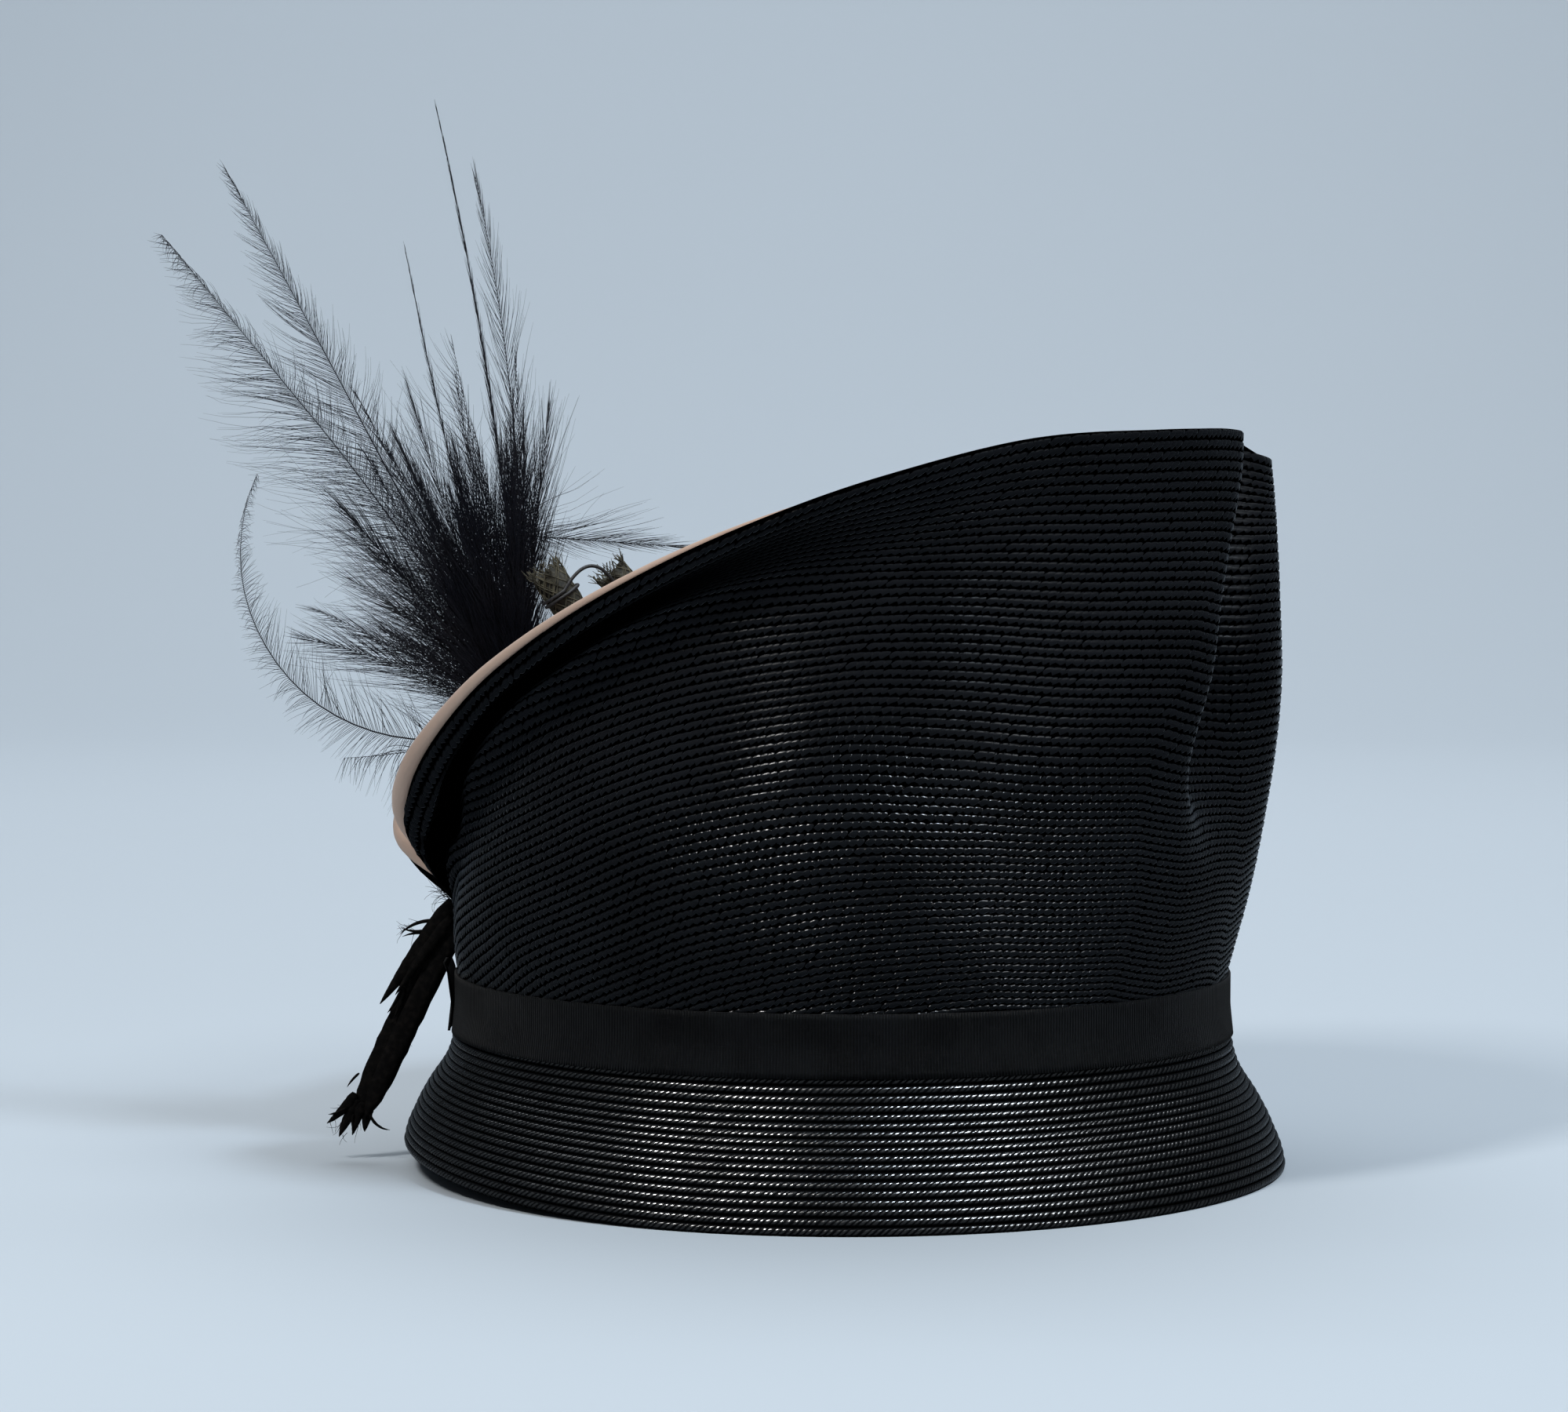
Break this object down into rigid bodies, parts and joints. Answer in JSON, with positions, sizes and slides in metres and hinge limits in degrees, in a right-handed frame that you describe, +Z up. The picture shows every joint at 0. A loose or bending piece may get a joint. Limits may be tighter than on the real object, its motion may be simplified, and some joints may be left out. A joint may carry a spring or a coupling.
{
  "type": "straw hat",
  "caption": "Black braided straw hat with a flared lower brim, a ribbon at the waist and a tall turned-up brim faced in cloth, notched at the front before a feather plume.",
  "frame": {"origin": "on the floor, under the middle of the whole hat's box", "axes": "+Z up, -X towards the front notch and the plume, +Y towards the side away from the camera"},
  "size_m": [0.2982, 0.21, 0.2737],
  "materials": {
    "black_straw": "lacquered straw braid, glossy on its ridges",
    "peach_cloth": "matte crepe",
    "black_ribbon": "ribbed ribbon with a low sheen",
    "black_feather": "blue-black feather",
    "frayed_fibre": "dry frayed fibre",
    "olive_buckram": "stiffened open net",
    "dark_wire": "thread-wound wire"
  },
  "bodies": {
    "root": {"lower_brim": "black_straw", "upturned_brim": "black_straw", "brim_facing": "peach_cloth", "ribbon_band": "black_ribbon", "ribbon_tab": "black_ribbon", "crown": "black_straw", "plume": "black_feather", "ragged_tail": "frayed_fibre", "flower_stem_1": "olive_buckram", "flower_stem_2": "olive_buckram", "stem_wire": "dark_wire"}
  },
  "joints": []
}
